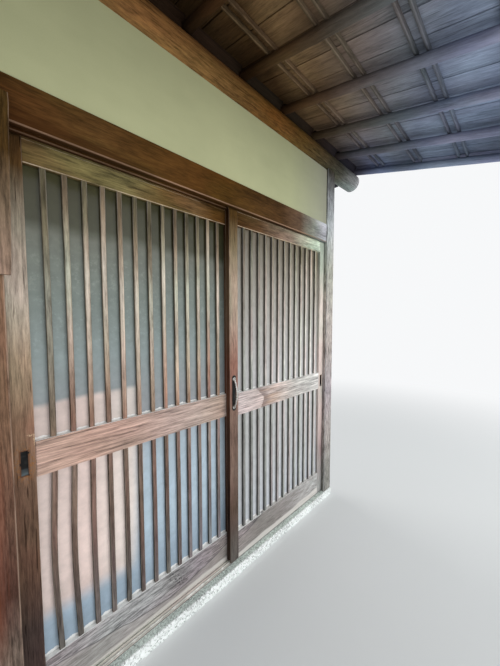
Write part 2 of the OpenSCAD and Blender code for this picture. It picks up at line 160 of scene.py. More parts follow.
class Nodes:
    """The nodes of one tree. An input is a socket of another node or a plain value."""

    def __init__(self, tree):
        self.tree = tree

    def feed(self, socket, value):
        if isinstance(value, bpy.types.NodeSocket):
            self.tree.links.new(value, socket)
        else:
            socket.default_value = value

    def node(self, kind, inputs=(), **settings):
        made = self.tree.nodes.new("ShaderNode" + kind)
        for key, value in settings.items():
            setattr(made, key, value)
        for key, value in dict(inputs).items():
            self.feed(made.inputs[key], value)
        return made

    def math(self, operation, *values):
        return self.node("Math", enumerate(values), operation=operation).outputs[0]

    def total(self, *values):
        return reduce(lambda a, b: self.math("ADD", a, b), values)

    def product(self, *values):
        return reduce(lambda a, b: self.math("MULTIPLY", a, b), values)

    def highest(self, *values):
        return reduce(lambda a, b: self.math("MAXIMUM", a, b), values)

    def less(self, value, other):
        return self.math("SUBTRACT", value, other)

    def size(self, value):
        return self.math("ABSOLUTE", value)

    def line(self, value, slope, start):
        return self.math("MULTIPLY_ADD", value, slope, start)

    def centred(self, value, share):
        """A noise value as a change around nothing."""
        return self.line(value, 2 * share, -share)

    def share(self, value, low, high):
        """0 up to low and 1 from high on, in a straight line between them."""
        made = self.node("MapRange", {"Value": value, "From Min": low, "From Max": high})
        return made.outputs["Result"]

    def fade(self, value, low, high):
        """0 on the side of low and 1 on the side of high, smooth between them."""
        made = self.node("MapRange", {"Value": value, "From Min": low, "From Max": high},
                         interpolation_type="SMOOTHSTEP")
        return made.outputs["Result"]

    def band(self, value, middle, half):
        """1 on a line, 0 away from it."""
        return self.fade(self.size(self.less(value, middle)), half, half * 0.4)

    def levels(self, value, stops):
        """A factor that follows a length from stop to stop."""
        pairs = list(stops.items())
        result = pairs[0][1]
        for (low, before), (high, after) in zip(pairs, pairs[1:]):
            result = self.line(self.share(value, low, high), after - before, result)
        return result

    def parts(self, vector):
        return self.node("SeparateXYZ", {0: vector}).outputs

    def joined(self, *values):
        return self.node("CombineXYZ", enumerate(values)).outputs[0]

    def vector(self, operation, *values):
        return self.node("VectorMath", enumerate(values), operation=operation).outputs[0]

    def length(self, vector):
        return self.node("VectorMath", {0: vector}, operation="LENGTH").outputs["Value"]

    def scaled(self, vector, scale):
        return self.vector("MULTIPLY", vector, scale)

    def brightened(self, colour, value):
        return self.node("VectorMath", {0: colour, "Scale": value}, operation="SCALE").outputs[0]

    def mix(self, factor, a, b):
        return self.node("Mix", {0: factor, 6: a, 7: b}, data_type="RGBA").outputs[2]

    def stained(self, colour, mask, share, code):
        """The colour with a share of another one where the mask is 1."""
        return self.mix(self.product(mask, share), colour, linear(code))

    def ramp(self, value, stops):
        made = self.node("ValToRGB", {"Fac": value})
        elements = made.color_ramp.elements
        first, *between, last = stops
        for element, place in ((elements[0], first), (elements[1], last)):
            element.position = place
            element.color = linear(stops[place])
        for place in between:
            elements.new(place).color = linear(stops[place])
        return made.outputs["Color"]

    def spread(self, value, stops):
        """Colours that follow a length from stop to stop."""
        low = min(stops)
        high = max(stops)
        shares = {(place - low) / (high - low): code for place, code in stops.items()}
        return self.ramp(self.share(value, low, high), shares)

    def noise(self, vector, scale=1.0, detail=3.0, rough=0.5, distortion=0.0, output="Fac"):
        made = self.node("TexNoise", {
            "Vector": vector, "Scale": scale, "Detail": detail, "Roughness": rough,
            "Distortion": distortion})
        return made.outputs[output]

    def here(self):
        return self.node("TexCoord").outputs["Object"]

    def facing(self):
        return self.parts(self.node("NewGeometry").outputs["Normal"])

    def shift(self):
        return self.node("Attribute", attribute_name="shift").outputs["Vector"]

    def tone(self):
        return self.node("Attribute", attribute_name="tone").outputs["Fac"]

    def places(self):
        """Object coordinates, moved by each piece's own shift, so that like pieces differ."""
        return self.vector("ADD", self.here(), self.shift())

    def seen_directly(self):
        """1 for rays from the camera, off gloss and through glass, 0 for light that falls on things."""
        rays = self.node("LightPath").outputs
        return self.highest(*(rays[f"Is {kind} Ray"] for kind in ("Camera", "Glossy", "Transmission")))


class Surface(Nodes):
    """A material, and the nodes that feed its shader. The streaks of timber are kept for its marks."""

    streaks = None

    def __init__(self, name, roughness, metallic=0.0, specular=0.5):
        self.material = bpy.data.materials.new(name)
        self.material.use_nodes = True
        super().__init__(self.material.node_tree)
        self.shader = self.tree.nodes["Principled BSDF"]
        self.roughness(roughness)
        self.feed(self.shader.inputs["Metallic"], metallic)
        self.feed(self.shader.inputs["Specular IOR Level"], specular)

    def colour(self, value):
        self.feed(self.shader.inputs["Base Color"], value)

    def roughness(self, value):
        self.feed(self.shader.inputs["Roughness"], value)

    def bump(self, height, distance, strength=1.0):
        made = self.node("Bump", {"Height": height, "Distance": distance, "Strength": strength})
        self.feed(self.shader.inputs["Normal"], made.outputs["Normal"])


def grain_axes(s, spot, along):
    """The same place with X along the grain."""
    if along == "X":
        return spot
    if along == "slope":
        turned = s.node("VectorRotate", {"Vector": spot, "Angle": -ROOF_PITCH}, rotation_type="X_AXIS")
        x, y, z = s.parts(turned.outputs[0])
        return s.joined(y, x, z)
    x, y, z = s.parts(spot)
    return s.joined(z, x, y)


def shaded_weathered_place(s, axis):
    """Distance that a piece's colours follow: along X or Z, or out and sideways under the eave. Those
    colours hold painted shade under the eave and painted sky light further out, as well as the timber's
    own colour.
    """
    x, y, z = s.parts(s.here())
    if axis == "eave":
        return s.total(s.product(y, -1 / math.cos(ROOF_PITCH)), s.line(x, 0.45, -0.445))
    return {"X": x, "Z": z}[axis]


def drifted(s, colour, grain, hue):
    """The colour drifts between red and olive, along the grain and from piece to piece."""
    drift = s.total(s.noise(s.scaled(grain, (3.1, 9.0, 9.0)), 0.7, 2.0), s.product(s.tone(), 0.8))
    red = s.scaled(colour, (1 + 0.08 * hue, 1 - 0.03 * hue, 1 - 0.05 * hue))
    olive = s.scaled(colour, (1 - 0.03 * hue, 1 + 0.01 * hue, 1 - 0.06 * hue))
    return s.mix(s.fade(drift, 0.40, 0.62), olive, red)


def rubbed_and_lit(s, facing, along, patches, worn):
    """A share of 1 on the arrises, in patches, for wear and for a painted highlight where light catches
    the edges. Faces square to an axis and end grain have none.
    """
    square = s.highest(*(s.size(part) for part in facing))
    end = s.size(facing["XYZ".index(along)])
    patchy = s.product(s.fade(patches, 0.25, 0.60), worn)
    return s.product(s.fade(square, 0.985, 0.93), s.fade(end, 0.3, 0.15), patchy)


def limed_and_lit(s, colour, up):
    """Lime and dust on what looks up, and painted light on those tops."""
    spots = s.line(s.fade(s.noise(s.here(), 70.0, 2.0), 0.32, 0.5), 0.2, 0.8)
    return s.mix(s.product(s.fade(up, 0.2, 0.4), spots), colour, linear("#faf8f4"))


def wood(name, along, axis, stops, figure=1.0, ring=0.007, pith=(0.0, 0.05, 0.03), rough=0.65,
         relief=0.0012, specular=0.06, specks=0.5, fleck=16.0, blotch=0.36, lines=0.0, cracks=0.4,
         hue=1.0, sides=None, arris=None, worn=0.6, ledge=False, stagger=0.0, marks=None):
    """Sawn or peeled timber, grained along one direction, over colours that follow an axis. Those colours
    hold painted shade and painted light as well as the timber's own colour.

    figure, specks, blotch, lines and cracks say how strong the grain, the specks, the clouds, the dark
    rings and the drying cracks are. ring is the width of a ring, pith the middle of the rings, and fleck
    how short the specks are. hue is how far the colour drifts, and sides darkens the faces that look
    along X as painted shade. arris is the colour of the pale arrises, which are partly wear and partly a
    painted highlight, or its stops, and worn its share. ledge limes what looks up and paints light on it,
    stagger moves the colours from piece to piece, and marks adds what one timber alone has.
    """
    s = Surface(name, rough, specular=specular)
    place = shaded_weathered_place(s, axis)
    if stagger:
        place = s.total(place, s.product(s.parts(s.shift())[0], stagger))
    grain = grain_axes(s, s.places(), along)
    sway = s.noise(s.scaled(grain, (1.6, 9.0, 9.0)), output="Color")
    swayed = s.vector("MULTIPLY_ADD", sway, (0.03, 0.03, 0.03), grain)
    radius = s.length(s.scaled(s.vector("ADD", swayed, pith), (0.03, 1.0, 1.0)))
    rings = s.node("TexNoise", {"W": s.math("DIVIDE", radius, ring), "Scale": 1.0, "Detail": 1.0},
                   noise_dimensions="1D").outputs["Fac"]
    s.streaks = s.noise(s.scaled(swayed, (2.4, 40.0, 40.0)), detail=4.0, rough=0.6)
    fibres = s.noise(s.scaled(swayed, (14.0, 260.0, 260.0)), detail=2.0)
    flecks = s.noise(s.scaled(grain, (fleck, 140.0, 140.0)), detail=4.0, rough=0.75)
    clouds = s.noise(s.scaled(grain, (4.0, 11.0, 11.0)), detail=4.0, rough=0.6)
    value = s.total(
        s.centred(rings, RING_SHARE * figure), s.centred(s.streaks, STREAK_SHARE * figure),
        s.centred(fibres, FIBRE_SHARE * figure), s.centred(flecks, specks), s.centred(clouds, blotch),
        s.tone(), 1.0)
    if lines:
        value = s.less(value, s.product(s.fade(rings, 0.56, 0.68), lines))
    value = s.math("MINIMUM", s.highest(value, DARKEST), BRIGHTEST)
    colour = drifted(s, s.brightened(s.spread(place, stops), value), grain, hue)
    facing = s.facing()
    # Painted shade: the faces that look along X are darkened by the sides tint.
    if sides:
        colour = s.mix(s.fade(s.size(facing[0]), 0.45, 0.85), colour, s.scaled(colour, sides))
    # Pale arrises: partly wear, partly a painted highlight where light catches the edges.
    if arris:
        pale = linear(arris) if isinstance(arris, str) else s.spread(place, arris)
        patches = s.total(clouds, s.centred(flecks, 0.3))
        colour = s.mix(rubbed_and_lit(s, facing, along, patches, worn), colour, pale)
    # Lime on what looks up, with painted light on those tops.
    if ledge:
        colour = limed_and_lit(s, colour, facing[2])
    if marks:
        colour = marks(s, colour)
    checks = s.fade(s.noise(s.scaled(swayed, (5.0, 150.0, 150.0)), detail=1.0), 0.67, 0.73)
    cracked = s.product(checks, cracks)
    s.colour(s.mix(cracked, colour, s.scaled(colour, CRACK_SHADE)))
    s.roughness(s.line(fibres, 0.25, rough - 0.12))
    height = s.total(s.product(fibres, 0.5), s.product(rings, 0.25), s.product(s.streaks, 0.4),
                     s.product(flecks, 0.4))
    s.bump(s.less(height, cracked), relief)
    return s.material


def swallowtail(s, colour):
    """Dark heartwood that starts at a pointed edge in the right mid rail and runs out to the right."""
    tip_x, tip_z = 1.182, 0.869
    x, _, z = s.parts(s.here())
    rise = s.less(z, tip_z)
    slant = s.highest(rise, s.product(rise, -0.42))
    wobble = s.centred(s.noise(s.scaled(s.here(), (30.0, 30.0, 90.0))), 0.012)
    past = s.total(x, slant, wobble, -tip_x)
    start = s.fade(past, -0.002, 0.003)
    tail = s.product(start, s.fade(past, 0.20, 0.06), s.fade(s.streaks, 0.42, 0.62))
    edge = s.product(start, s.fade(past, 0.075, 0.01))
    return s.stained(s.stained(colour, tail, 0.55, "#a58468"), edge, 0.62, "#6f5f5c")


def arched_grain(s, colour):
    """The dark arch of grain, the black knot mark and the bleached foot of the left bottom rail."""
    arch_x, arch_z = 0.600, 0.043
    x, _, z = s.parts(s.here())
    wobble = s.centred(s.noise(s.here(), 9.0), 0.012)
    away = s.size(s.less(x, arch_x))
    over = s.less(z, s.total(s.product(s.math("POWER", away, 1.3), 0.24), wobble, arch_z))
    colour = s.stained(colour, s.fade(over, 0.002, -0.004), 0.5, "#a39c95")
    colour = s.stained(colour, s.band(over, 0.0, 0.004), 0.6, "#4c474a")
    foot = s.fade(s.total(z, wobble, s.product(x, -0.022)), 0.016, 0.004)
    colour = s.stained(colour, foot, 0.8, "#e2dcd5")
    path = s.band(s.total(x, s.product(z, 0.85)), 0.722, 0.030)
    rough = s.fade(s.noise(s.here(), 130.0, 3.0, 0.7), 0.50, 0.60)
    knot = s.product(path, s.fade(z, 0.055, 0.075), s.fade(z, 0.155, 0.135), rough)
    return s.stained(colour, knot, 0.9, "#2a2628")


def old_post(s, colour):
    """A reddish left part on the front of the left post."""
    x, _, z = s.parts(s.here())
    left = s.fade(s.total(x, s.centred(s.streaks, 0.03)), 0.070, 0.030)
    front = s.fade(s.facing()[1], -0.2, -0.6)
    red = s.product(left, s.fade(z, 0.2, 0.6), s.fade(z, 1.35, 1.15), front)
    return s.stained(colour, red, 0.85, "#7a4129")


def lit_arris(s, colour):
    """The chamfer under the head beam: a painted highlight along its upper edge, painted shade on the
    downward faces below it, and the beam darker along its lower part at the left.
    """
    edge_z = 1.8955
    x, _, z = s.parts(s.here())
    _, inward, up = s.facing()
    foot = s.product(s.fade(s.total(z, s.centred(s.streaks, 0.05)), 1.945, 1.915), s.fade(x, 0.60, 0.35))
    low = s.product(s.fade(up, 0.0, -0.25), s.fade(z, edge_z + 0.0035, edge_z + 0.0010))
    broken = s.line(s.fade(s.streaks, 0.40, 0.60), 0.5, 0.5)
    edge = s.product(s.band(z, edge_z, 0.0032), s.fade(inward, 0.0, -0.3), broken)
    # Darker lower part at the left, painted shade under the edge, then the painted highlight on the edge.
    colour = s.stained(s.stained(colour, foot, 0.6, "#391f0b"), low, 0.6, "#24160b")
    return s.stained(colour, edge, 0.8, "#a08068")


def shaded_bars(s, colour):
    """The brown bars: painted shade beside the left stile, painted light low down on the right, bluer
    there.
    """
    x, _, z = s.parts(s.here())
    dull = s.product(s.fade(x, 0.29, 0.17), s.fade(z, 0.90, 1.05), s.fade(z, 1.68, 1.52))
    pale = s.product(s.fade(x, 0.46, 0.62), s.fade(z, 1.25, 1.10), s.fade(z, 0.88, 0.94))
    low = s.product(s.fade(x, 0.60, 0.82), s.fade(z, 0.88, 0.78))
    colour = s.mix(s.product(low, 0.6), colour, s.scaled(colour, (0.92, 1.10, 1.35)))
    value = s.total(s.product(dull, -0.42), s.product(pale, 0.38), s.product(low, 0.40), 1.0)
    return s.brightened(colour, value)


def shaded_grey_bars(s, colour):
    """The grey bars: painted shade beside the centre stile, painted light at the right under the top
    rail.
    """
    x, _, z = s.parts(s.here())
    over = s.levels(x, {0.95: 0.52, 1.12: 0.74, 1.30: 0.92, 1.40: 1.12, 1.82: 1.16})
    top = s.total(s.product(s.fade(z, 1.40, 1.75), s.levels(x, {1.30: 0.1, 1.80: 0.9})), 1.0)
    return s.brightened(colour, s.product(over, top))


def eave_shade_and_sky_light(s, colour):
    """The eave: painted shade at its far right end, brown painted shade over the log, and painted blue
    sky light where that ends.
    """
    x, y, _ = s.parts(s.here())
    far = s.levels(x, {1.85: 1.0, 2.08: 0.72, 2.20: 0.72, 2.27: 1.05})
    near = s.levels(y, {-0.24: 1.0, -0.10: 0.62, 0.10: 0.55})
    blue = s.product(s.fade(x, 1.45, 2.10), s.fade(y, -0.42, -0.12))
    colour = s.mix(blue, colour, s.scaled(colour, (1.15, 1.45, 2.20)))
    return s.brightened(colour, s.product(far, near))


def rusty_stile(s, colour):
    """Rust round the pull, and a pale chip where the mid rail meets the left stile."""
    pull = (0.116, 0.009, PULL_Z)
    chip_left, chip_right, chip_top = 0.123, 0.1415, 0.956
    x, _, z = s.parts(s.here())
    grit = s.noise(s.here(), 160.0, 3.0, 0.7)
    away = s.length(s.scaled(s.vector("SUBTRACT", s.here(), pull), (2.2, 1.0, 1.0)))
    rust = s.product(s.fade(away, 0.085, 0.045), s.fade(grit, 0.50, 0.60))
    colour = s.stained(colour, rust, 0.5, "#96602c")
    rise = s.total(z, s.centred(grit, 0.010))
    right = s.product(s.band(s.total(x, s.centred(grit, 0.004)), chip_right, 0.0028),
                      s.fade(rise, 0.915, 0.925), s.fade(rise, 0.960, 0.950))
    top = s.product(s.band(rise, chip_top, 0.0030), s.fade(x, 0.119, chip_left))
    left = s.product(s.band(s.total(x, s.centred(grit, 0.006)), chip_left, 0.0028),
                     s.fade(rise, 0.880, 0.890), s.fade(rise, 0.915, 0.905))
    chip = s.product(s.highest(right, top, left), s.fade(grit, 0.38, 0.52))
    return s.stained(colour, chip, 0.55, "#d6bd9c")


def dark_lined_sill(s, colour):
    """Dark lines along the front edge of the sill board and beside its rails."""
    y = s.parts(s.here())[1]
    wavy = s.total(y, s.centred(s.streaks, 0.002))
    dark_lines = [s.band(wavy, middle, 0.0026) for middle in (-0.0148, -0.0052, 0.0075, 0.0182)]
    return s.stained(colour, s.highest(s.fade(y, -0.0185, -0.0205), *dark_lines), 0.75, "#3a352e")


def plaster():
    """Trowelled wall plaster, faintly mottled and a little darker towards the corner post."""
    s = Surface("plaster", 0.9, specular=0.15)
    spot = s.places()
    cloud = s.noise(spot, 2.4, 4.0, 0.55)
    sand = s.noise(spot, 420.0, 3.0, 0.6)
    trowel = s.noise(s.scaled(spot, (5.0, 5.0, 16.0)), distortion=0.4)
    stain = s.noise(s.scaled(spot, (2.0, 2.0, 0.7)), 3.0, 4.0)
    colour = s.spread(s.parts(s.here())[0], {
        0.1: "#afb089", 0.9: "#b9ba91", 1.4: "#b4b68f", 1.82: "#a0a08e"})
    value = s.total(s.centred(cloud, 0.14), s.centred(trowel, 0.05), s.centred(sand, 0.08),
                    s.centred(stain, 0.06), 1.0)
    s.colour(s.brightened(colour, value))
    s.bump(s.total(s.product(sand, 0.35), trowel), 0.0008)
    return s.material


def stone():
    """Dressed granite, speckled, with a pale worn front arris."""
    s = Surface("stone", 0.85, specular=0.25)
    spot = s.places()
    speck = s.parts(s.node("TexVoronoi", {"Vector": spot, "Scale": 150.0}).outputs["Color"])[0]
    cloud = s.noise(spot, 7.0, 4.0)
    pits = s.noise(spot, 120.0, 3.0, 0.7)
    worn = s.fade(s.total(s.parts(s.here())[1], s.centred(pits, 0.006)), -0.048, -0.0555)
    value = s.total(s.centred(speck, 0.26), s.centred(cloud, 0.40), s.centred(pits, 1.5), 1.0)
    colour = s.brightened(s.mix(worn, linear("#d0dad3"), linear("#f4f7f4")), value)
    dark = s.product(s.fade(pits, 0.56, 0.64), 0.8)
    s.colour(s.mix(dark, colour, s.scaled(colour, (0.38, 0.40, 0.39))))
    s.bump(s.total(pits, s.product(speck, 0.3)), 0.002)
    return s.material


def tile():
    """Smoked clay tile: silver grey, with soft kiln marks."""
    s = Surface("roof_tile", 0.5)
    spot = s.places()
    cloud = s.noise(spot, 9.0, 4.0)
    grit = s.noise(spot, 300.0, 3.0, 0.6)
    lichen = s.noise(spot, 26.0, 5.0, 0.7)
    colour = s.ramp(s.total(s.product(cloud, 0.8), s.tone()), {
        0.25: "#3a3d41", 0.55: "#54585d", 0.85: "#767b80"})
    s.colour(s.stained(colour, s.fade(lichen, 0.62, 0.72), 0.5, "#8a8d7d"))
    s.roughness(s.line(cloud, 0.3, 0.32))
    s.bump(s.total(grit, s.product(cloud, 0.8)), 0.0008)
    return s.material


def clay():
    """Rough bedding clay under the tiles."""
    s = Surface("bedding_clay", 0.95)
    lumps = s.noise(s.places(), 34.0, 6.0, 0.65)
    s.colour(s.ramp(lumps, {0.3: "#1d1a16", 0.7: "#3b352c"}))
    s.bump(lumps, 0.004)
    return s.material


def bar_spacing(door):
    low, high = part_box(f"{door}_bars")
    return (high.x - low.x - BAR_W) / (BAR_COUNT - 1)


def glass(name, door, stops, heights, across, painted_glints, reflected_patch=None):
    """Old window glass whose colours are a painted reflection of its surroundings, and lime left on the
    foot of each pane.

    stops are the colours of the painted reflection up the door, heights and across how strong it is up
    and across the door, glints how strong its painted specks of light are, and patch the colours of a
    warm painted reflection at the lower left.
    """
    s = Surface(name, 0.10)
    x, _, z = s.parts(s.here())
    ripple = s.noise(s.scaled(s.here(), (4.0, 4.0, 2.0)))
    height = s.total(z, s.centred(ripple, 0.03))
    # Painted reflection: the colours up the door stand for what the glass mirrors.
    colour = s.spread(height, stops)
    if reflected_patch:
        warm = s.product(s.fade(s.total(x, s.centred(ripple, 0.05)), 0.50, 0.43),
                         s.fade(height, 0.26, 0.34), s.fade(height, 1.06, 1.035))
        colour = s.mix(warm, colour, s.spread(x, reflected_patch))
    # Painted glints: bright specks at middle height.
    specks = s.product(s.fade(s.noise(s.here(), 42.0, 6.0, 0.75), 0.50, 0.68),
                       s.fade(z, 1.15, 1.30), s.fade(z, 1.63, 1.55), painted_glints)
    mottle = s.total(s.centred(s.noise(s.here(), 26.0, 5.0, 0.65), 0.24), specks, 1.0)
    colour = s.brightened(colour, s.product(mottle, s.levels(z, heights), s.levels(x, across)))
    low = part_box(f"{door}_bars")[0]
    turn = s.product(s.less(x, low.x + BAR_W / 2), math.pi / bar_spacing(door))
    hump = s.math("POWER", s.size(s.math("SINE", turn)), 0.7)
    rough = s.centred(s.noise(s.here(), 90.0), 0.006)
    for foot, rise in ((low.z, 0.010), (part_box(f"{door}_mid_rail")[1].z, 0.0055)):
        over = s.less(s.total(z, rough), foot)
        under = s.fade(s.less(over, s.line(hump, rise, 0.001)), 0.0012, -0.0008)
        colour = s.stained(colour, s.product(under, s.fade(over, -0.02, -0.01)), 0.92, "#fbfaf7")
    s.colour(colour)
    s.feed(s.shader.inputs["Transmission Weight"], 0.12)
    s.feed(s.shader.inputs["IOR"], 1.45)
    s.bump(s.noise(s.scaled(s.here(), (5.0, 5.0, 3.0)), detail=2.0), 0.002, 0.4)
    return s.material


def metal(name, base, worn, rough, scale=60.0, metallic=1.0, bright=None, rust=None):
    """Metal, brighter where hands or wheels rub it, with painted light on what looks up when bright is
    given, and with rust where the tone is raised.
    """
    s = Surface(name, rough, metallic)
    spot = s.places()
    wear = s.noise(spot, scale, 4.0, 0.6)
    scratch = s.noise(s.scaled(spot, (30.0, 300.0, 300.0)))
    colour = s.mix(s.fade(wear, 0.45, 0.68), linear(base), linear(worn))
    # Painted light: faces that look up take the bright colour.
    if bright:
        colour = s.mix(s.fade(s.facing()[2], 0.15, 0.7), colour, linear(bright))
    if rust:
        crust = s.product(s.fade(s.tone(), 0.35, 0.9), s.fade(wear, 0.32, 0.42))
        colour = s.mix(crust, colour, linear(rust))
    s.colour(colour)
    s.roughness(s.line(wear, 0.25, rough - 0.1))
    s.bump(s.total(wear, s.product(scratch, 0.5)), 0.0003)
    return s.material


def new_mesh():
    bm = bmesh.new()
    bm.verts.layers.float_vector.new("shift")
    bm.verts.layers.float.new("tone")
    return bm


def mark(bm, verts, shift=(0.0, 0.0, 0.0), tone=0.0):
    """Gives a solid its own shift of the grain and its own tone."""
    shifts = bm.verts.layers.float_vector["shift"]
    tones = bm.verts.layers.float["tone"]
    for v in verts:
        v[shifts] = shift
        v[tones] = tone


def scatter(rng, *reaches):
    """A random shift, with a reach of its own for each direction."""
    return [rng.uniform(-reach, reach) for reach in reaches]


def sweep(bm, rings, smooth=True):
    """A closed solid through rings of points, and its vertices."""
    rows = [[bm.verts.new(p) for p in ring] for ring in rings]
    join_rows(bm, rows, smooth)
    bm.faces.new(list(reversed(rows[0])))
    bm.faces.new(rows[-1])
    return [v for row in rows for v in row]


def join_rows(bm, rows, smooth=False):
    """Faces between rings of vertices."""
    count = len(rows[0])
    for a, b in zip(rows, rows[1:]):
        for i in range(count):
            k = (i + 1) % count
            face = bm.faces.new((a[i], a[k], b[k], b[i]))
            face.smooth = smooth


def finish_mesh(name, bm, material, body, slot, *replaced, sharp=30):
    """The mesh becomes a piece that rides on a body and stands for the replaced nodes."""
    bmesh.ops.recalc_face_normals(bm, faces=bm.faces)
    mesh = bpy.data.meshes.new(name)
    bm.to_mesh(mesh)
    bm.free()
    mesh.materials.append(material)
    mesh.set_sharp_from_angle(angle=math.radians(sharp))
    obj = bpy.data.objects.new(name, mesh)
    bpy.context.scene.collection.objects.link(obj)
    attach(obj, body)
    if replaced:
        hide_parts(*replaced)


def chamfered(width, depth, cut):
    """Corners of a rectangle with its arrises taken off, from its lower left corner."""
    return [
        (cut, 0), (width - cut, 0), (width, cut), (width, depth - cut),
        (width - cut, depth), (cut, depth), (0, depth - cut), (0, cut),
    ]


def soften(node, material, width):
    """A CAD node keeps its shape, with its arrises eased and a new finish."""
    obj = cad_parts[node]
    mesh = obj.data
    mesh.materials.clear()
    mesh.materials.append(material)
    normals = mesh.attributes.get("custom_normal")
    if normals:
        mesh.attributes.remove(normals)
    weld = obj.modifiers.new("weld", "WELD")
    weld.merge_threshold = 0.00002
    if width:
        bevel = obj.modifiers.new("eased", "BEVEL")
        bevel.width = width
        bevel.segments = 2
        bevel.limit_method = "ANGLE"
        bevel.angle_limit = math.radians(40)


def bar(bm, low, high, x, y, depth, bend, rng):
    """One lattice bar, a little bowed, its arrises rounded."""
    steps = 14
    arris = 0.0022
    unevenness = 0.0005
    section = chamfered(BAR_W, depth, arris)
    rings = []
    for i in range(steps + 1):
        t = i / steps
        z = low + (high - low) * t
        push = bend * math.sin(math.pi * t) ** 1.2
        sway = unevenness * noise.noise(Vector((x * 40, z * 5, 1.0)))
        rings.append([Vector((x + u + push + sway, y + v, z)) for u, v in section])
    verts = sweep(bm, rings, smooth=False)
    mark(bm, verts, scatter(rng, 1, 1, 3), rng.uniform(-0.10, 0.12))


def lattice(door, material, bends):
    """The bars of a door, in both halves. bends gives the bow of single bars in the lower half."""
    rng = random.Random(door)
    low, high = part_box(f"{door}_bars")
    mid_low, mid_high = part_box(f"{door}_mid_rail")
    spacing = bar_spacing(door)
    bm = new_mesh()
    for bowed, z0, z1 in ((bends, low.z, mid_low.z), ({}, mid_high.z, high.z)):
        for i in range(BAR_COUNT):
            bend = bowed.get(i, rng.uniform(-0.0012, 0.0012))
            bar(bm, z0, z1, low.x + i * spacing, low.y, high.y - low.y, bend, rng)
    finish_mesh(f"{door}_lattice", bm, material, door, "bar_wood", f"{door}_bars")


def pole(bm, x, seed):
    """A peeled pole down the slope, flat on top where the battens lie on it."""
    sides = 20
    wobble = 0.0022
    bow = 0.0014
    skin = 0.0006
    knot_reach = 0.022
    end_cut = 0.0025
    rng = random.Random(seed)
    start = on_roof(x, RAFTER_IN, RAFTER_AXIS)
    end = on_roof(x, RAFTER_OUT, RAFTER_AXIS)
    length = (end - start).length
    count = round(length / 0.045)
    along = (end - start).normalized()
    up = Vector((0, -math.sin(ROOF_PITCH), math.cos(ROOF_PITCH)))
    side = along.cross(up).normalized()
    knots = [
        (rng.uniform(0.08, 0.92) * length, rng.uniform(0, 2 * math.pi))
        for _ in range(rng.randint(2, 4))
    ]
    phase = rng.uniform(0, 50)
    rings = []
    for i in range(count + 1):
        s = length * i / count
        middle = start + along * s + side * bow * noise.noise(Vector((s * 2.1, phase, 0)))
        ring = []
        for k in range(sides):
            angle = 2 * math.pi * k / sides
            out, lift = math.cos(angle), math.sin(angle)
            dent = noise.noise(Vector((s * 3.0 + phase, out * 0.8, lift * 0.8)))
            fine = noise.noise(Vector((s * 11 + phase, out * 2.2, lift * 2.2)))
            bulge = sum(
                math.exp(-((s - a) / knot_reach) ** 2) * max(0.0, math.cos(angle - b)) ** 4
                for a, b in knots)
            r = RAFTER_R - skin - wobble * (0.5 + 0.45 * dent + 0.25 * fine) + 0.6 * wobble * bulge
            if i in (0, count):
                r -= end_cut
            ring.append(middle + side * out * r + up * min(lift * r, RAFTER_TOP - RAFTER_AXIS))
        rings.append(ring)
    verts = sweep(bm, rings)
    mark(bm, verts, scatter(rng, 2, 2, 2), rng.uniform(-0.06, 0.06))


def middle_x(node):
    """Middle of a CAD node along the wall."""
    low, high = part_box(node)
    return (low.x + high.x) / 2


def rafters(material):
    """Every rafter is one peeled pole."""
    for i, node in enumerate(RAFTER_NODES):
        bm = new_mesh()
        pole(bm, middle_x(node), 40 + i)
        finish_mesh(f"{node}_pole", bm, material, FRAME_BODY, "rafter_wood", node, sharp=50)


def purlin(material):
    """The round log over the posts, with domed ends and a long drying check under its front."""
    sides = 72
    count = 60
    skin = 0.0012
    check_depth = 0.004
    check_width = 0.02
    check_turn = math.radians(214)
    ends = (0.0, 0.003, LOG_DOME)
    straight = LOG_HIGH.x - LOG_LOW.x - 2 * LOG_DOME
    xs = [LOG_LOW.x + d for d in ends]
    xs += [LOG_LOW.x + LOG_DOME + straight * i / count for i in range(1, count)]
    xs += [LOG_HIGH.x - d for d in reversed(ends)]
    rings = []
    for x in xs:
        edge = min(x - LOG_LOW.x, LOG_HIGH.x - x)
        dome = 0.010 * max(0.0, 1 - edge / LOG_DOME) ** 1.6
        past = max(0.0, (x - LOG_TAPER_FROM) / (LOG_HIGH.x - LOG_TAPER_FROM))
        thin = LOG_TAPER * min(1.0, past) ** 1.3
        ring = []
        for k in range(sides):
            angle = 2 * math.pi * k / sides
            out, lift = math.cos(angle), math.sin(angle)
            dent = skin * noise.noise(Vector((x * 1.3, out * 0.9, lift * 0.9)))
            middle = check_turn + math.radians(5) * math.sin(x * 1.7)
            open_here = max(0.0, math.sin((x - 0.2) * 1.7))
            check = check_depth * open_here * math.exp(-((angle - middle) / check_width) ** 2)
            r = LOG_R - thin - skin - dent - dome - check
            ring.append(Vector((x, out * r, LOG_Z + thin + lift * r)))
        rings.append(ring)
    bm = new_mesh()
    mark(bm, sweep(bm, rings))
    finish_mesh("log_purlin_peeled", bm, material, FRAME_BODY, "log_wood", "log_purlin", sharp=50)


def roof_slab(bm, xs, ys, zs, cut, rng, lift=0.0, tone=0.06, steps=1, along="Y"):
    """A board or batten that lies on the slope between pairs of places, with eased arrises."""
    shift = scatter(rng, 2, 2, 2)
    wide, long = (xs, ys) if along == "Y" else (ys, xs)
    outline = chamfered(wide[1] - wide[0], zs[1] - zs[0], cut)
    section = [(wide[0] + u, zs[0] + v + lift) for u, v in outline]
    rings = []
    for i in range(steps + 1):
        reach = long[0] + (long[1] - long[0]) * i / steps
        if along == "Y":
            rings.append([on_roof(w, reach, z) for w, z in section])
        else:
            rings.append([on_roof(reach, w, z) for w, z in section])
    mark(bm, sweep(bm, rings, smooth=False), shift, rng.uniform(-tone, tone))


